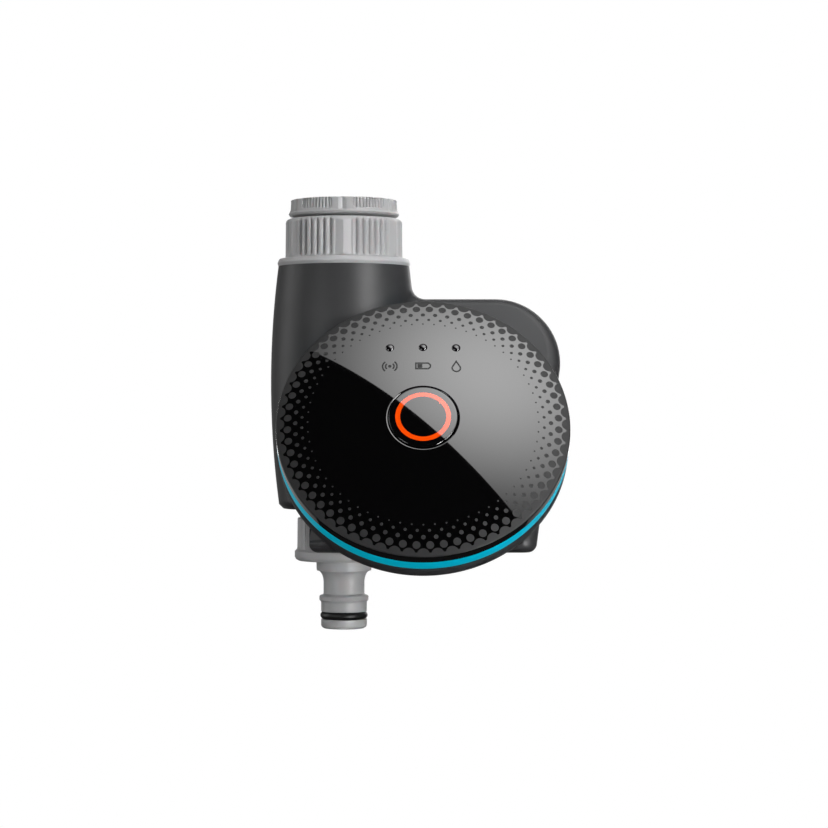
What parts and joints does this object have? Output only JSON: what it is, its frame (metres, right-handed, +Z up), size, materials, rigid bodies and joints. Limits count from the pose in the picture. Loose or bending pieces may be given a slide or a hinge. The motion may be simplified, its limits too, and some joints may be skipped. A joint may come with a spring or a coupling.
{
  "type": "smart irrigation controller",
  "caption": "Tap-mounted smart water timer: union nut and hose connector on a vertical valve barrel, with a round tilted control head over a battery box.",
  "frame": {"origin": "centre of the tap thread at the adapter's top face", "axes": "+Z up along the water axis, towards the tap; +X to the right of someone who faces the head; the head looks towards -Y"},
  "size_m": [0.1016, 0.0987, 0.1494],
  "materials": {
    "light_grey_plastic": "fine moulded grain, satin",
    "dark_grey_plastic": "fine moulded grain, satin",
    "black_plastic": "moulded, satin",
    "gloss_black": "polished black with a printed matte dot pattern",
    "cyan_plastic": "moulded, semi-gloss",
    "orange_plastic": "translucent, satin",
    "smoked_plastic": "polished, smoked",
    "clear_plastic": "clear moulded",
    "white_plastic": "moulded, satin",
    "black_rubber": "smooth moulded rubber",
    "grey_rubber": "smooth moulded rubber",
    "board_green": "solder mask",
    "steel": "zinc-plated steel",
    "spring_steel": "drawn stainless wire",
    "magnet_nickel": "nickel plate",
    "copper_wire": "enamelled copper wire",
    "contact_brass": "stamped sheet, nickel-plated brass",
    "cell_jacket": "shrink sleeve over steel"
  },
  "bodies": {
    "housing": {"inlet_collar": "light_grey_plastic", "inlet_filter": "white_plastic", "valve_body": "black_plastic", "diaphragm": "black_rubber", "diaphragm_spring": "spring_steel", "valve_bonnet": "black_plastic", "bonnet_screws": "steel", "plunger_spring": "spring_steel", "solenoid_core": "steel", "latch_magnet": "magnet_nickel", "coil_bobbin": "white_plastic", "solenoid_coil": "copper_wire", "coil_yoke": "steel", "housing_gasket": "grey_rubber", "front_housing": "dark_grey_plastic", "rear_housing": "dark_grey_plastic", "housing_screws": "steel", "head_shell": "dark_grey_plastic", "head_screws": "steel", "colour_ring": "cyan_plastic", "front_cover": "gloss_black", "cover_seal": "grey_rubber", "button_bezel": "gloss_black", "button_skirt": "grey_rubber", "circuit_board": "board_green", "push_switch": "black_plastic", "leds": "clear_plastic", "light_guides": "smoked_plastic", "radio_module": "steel", "antenna": "white_plastic", "capacitors": "cell_jacket", "lead_sockets": "white_plastic", "board_screws": "steel", "battery_bay": "black_plastic"},
    "union_nut": {"union_nut": "light_grey_plastic"},
    "inlet_washer": {"inlet_washer": "black_rubber"},
    "tap_adapter": {"tap_adapter": "light_grey_plastic", "adapter_seal": "black_rubber"},
    "outlet_washer": {"outlet_washer": "black_rubber"},
    "outlet_connector": {"outlet_connector": "light_grey_plastic", "outlet_o_ring": "black_rubber"},
    "button": {"button": "gloss_black", "button_ring": "orange_plastic"},
    "plunger": {"plunger": "steel", "plunger_tip": "black_rubber"},
    "diaphragm_plate": {"diaphragm_plate": "white_plastic"},
    "battery_tray": {"battery_tray": "black_plastic", "battery_cells": "cell_jacket", "battery_contacts": "contact_brass", "contact_springs": "spring_steel", "tray_seal": "grey_rubber"}
  },
  "joints": [
    {"name": "nut_turn", "type": "hinge", "parent": "housing", "child": "union_nut", "pos_m": [0, 0, 0], "axis": [0, 0, 1], "continuous": true},
    {"name": "adapter_turn", "type": "hinge", "parent": "union_nut", "child": "inlet_washer", "pos_m": [0, 0, 0], "axis": [0, 0, 1], "range_deg": [0, 1169.4]},
    {"name": "adapter_rise", "type": "slide", "parent": "inlet_washer", "child": "tap_adapter", "axis": [0, 0, 1], "range_m": [0, 0.0075]},
    {"name": "outlet_turn", "type": "hinge", "parent": "housing", "child": "outlet_washer", "pos_m": [0, 0, -0.13], "axis": [0, 0, -1], "range_deg": [0, 2183.1]},
    {"name": "outlet_drop", "type": "slide", "parent": "outlet_washer", "child": "outlet_connector", "axis": [0, 0, -1], "range_m": [0, 0.011]},
    {"name": "button_press", "type": "slide", "parent": "housing", "child": "button", "axis": [0, 0.866, -0.5], "range_m": [0, 0.0008], "stiffness_N_per_m": 800, "springref_m": -0.001, "deforming": ["button_skirt"]},
    {"name": "plunger_stroke", "type": "slide", "parent": "housing", "child": "plunger", "axis": [1, 0, 0], "range_m": [0, 0.0015], "stiffness_N_per_m": 250, "springref_m": -0.0015, "deforming": ["plunger_spring"]},
    {"name": "diaphragm_lift", "type": "slide", "parent": "housing", "child": "diaphragm_plate", "axis": [1, 0, 0], "range_m": [0, 0.003], "deforming": ["diaphragm", "diaphragm_spring"]},
    {"name": "tray_slide", "type": "slide", "parent": "housing", "child": "battery_tray", "axis": [0, 0, -1], "range_m": [0, 0.034]}
  ],
  "couplings": [
    {"joint": "adapter_turn", "follows": "adapter_rise", "rad_per_m": 2721.2},
    {"joint": "outlet_turn", "follows": "outlet_drop", "rad_per_m": 3463.7},
    {"joint": "diaphragm_lift", "follows": "plunger_stroke", "ratio": 2}
  ]
}
